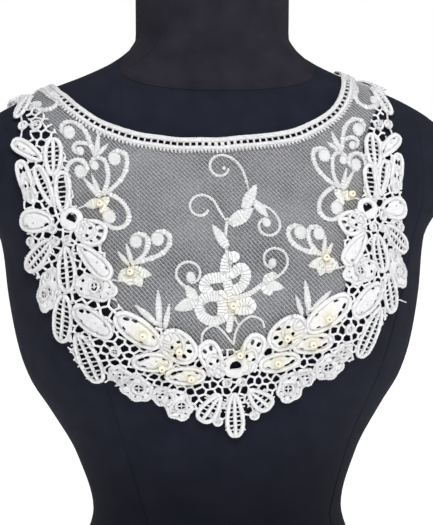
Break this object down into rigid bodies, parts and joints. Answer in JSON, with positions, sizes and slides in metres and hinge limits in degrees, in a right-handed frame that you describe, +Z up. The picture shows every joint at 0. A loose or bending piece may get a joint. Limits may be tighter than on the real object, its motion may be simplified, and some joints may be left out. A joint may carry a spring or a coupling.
{
  "type": "guipure lace yoke on a limbless dress form",
  "caption": "White guipure lace yoke with an embroidered net front, ladder neckband and petal border, worn over the shoulders of a plain navy limbless dress form with a neck.",
  "frame": {"origin": "middle of the dress form's flat base, on the surface it stands on", "axes": "+Z up through the neck, -Y the front that the yoke covers, +X the right of someone looking at the front"},
  "size_m": [0.348, 0.2542, 0.61],
  "materials": {
    "form_cloth": "matt navy knit cover",
    "neck_cloth": "matt charcoal canvas cover",
    "net_cloth": "fine soft net with satin stitch",
    "lace_cotton": "heavy cord-rimmed guipure stitch",
    "braid_cotton": "ladder braid, matt",
    "pearl": "pearlescent bead"
  },
  "bodies": {
    "root": {"form_body": "form_cloth", "form_neck": "neck_cloth", "net_panel": "net_cloth", "neckband": "braid_cotton", "guipure_border": "lace_cotton"}
  },
  "joints": []
}
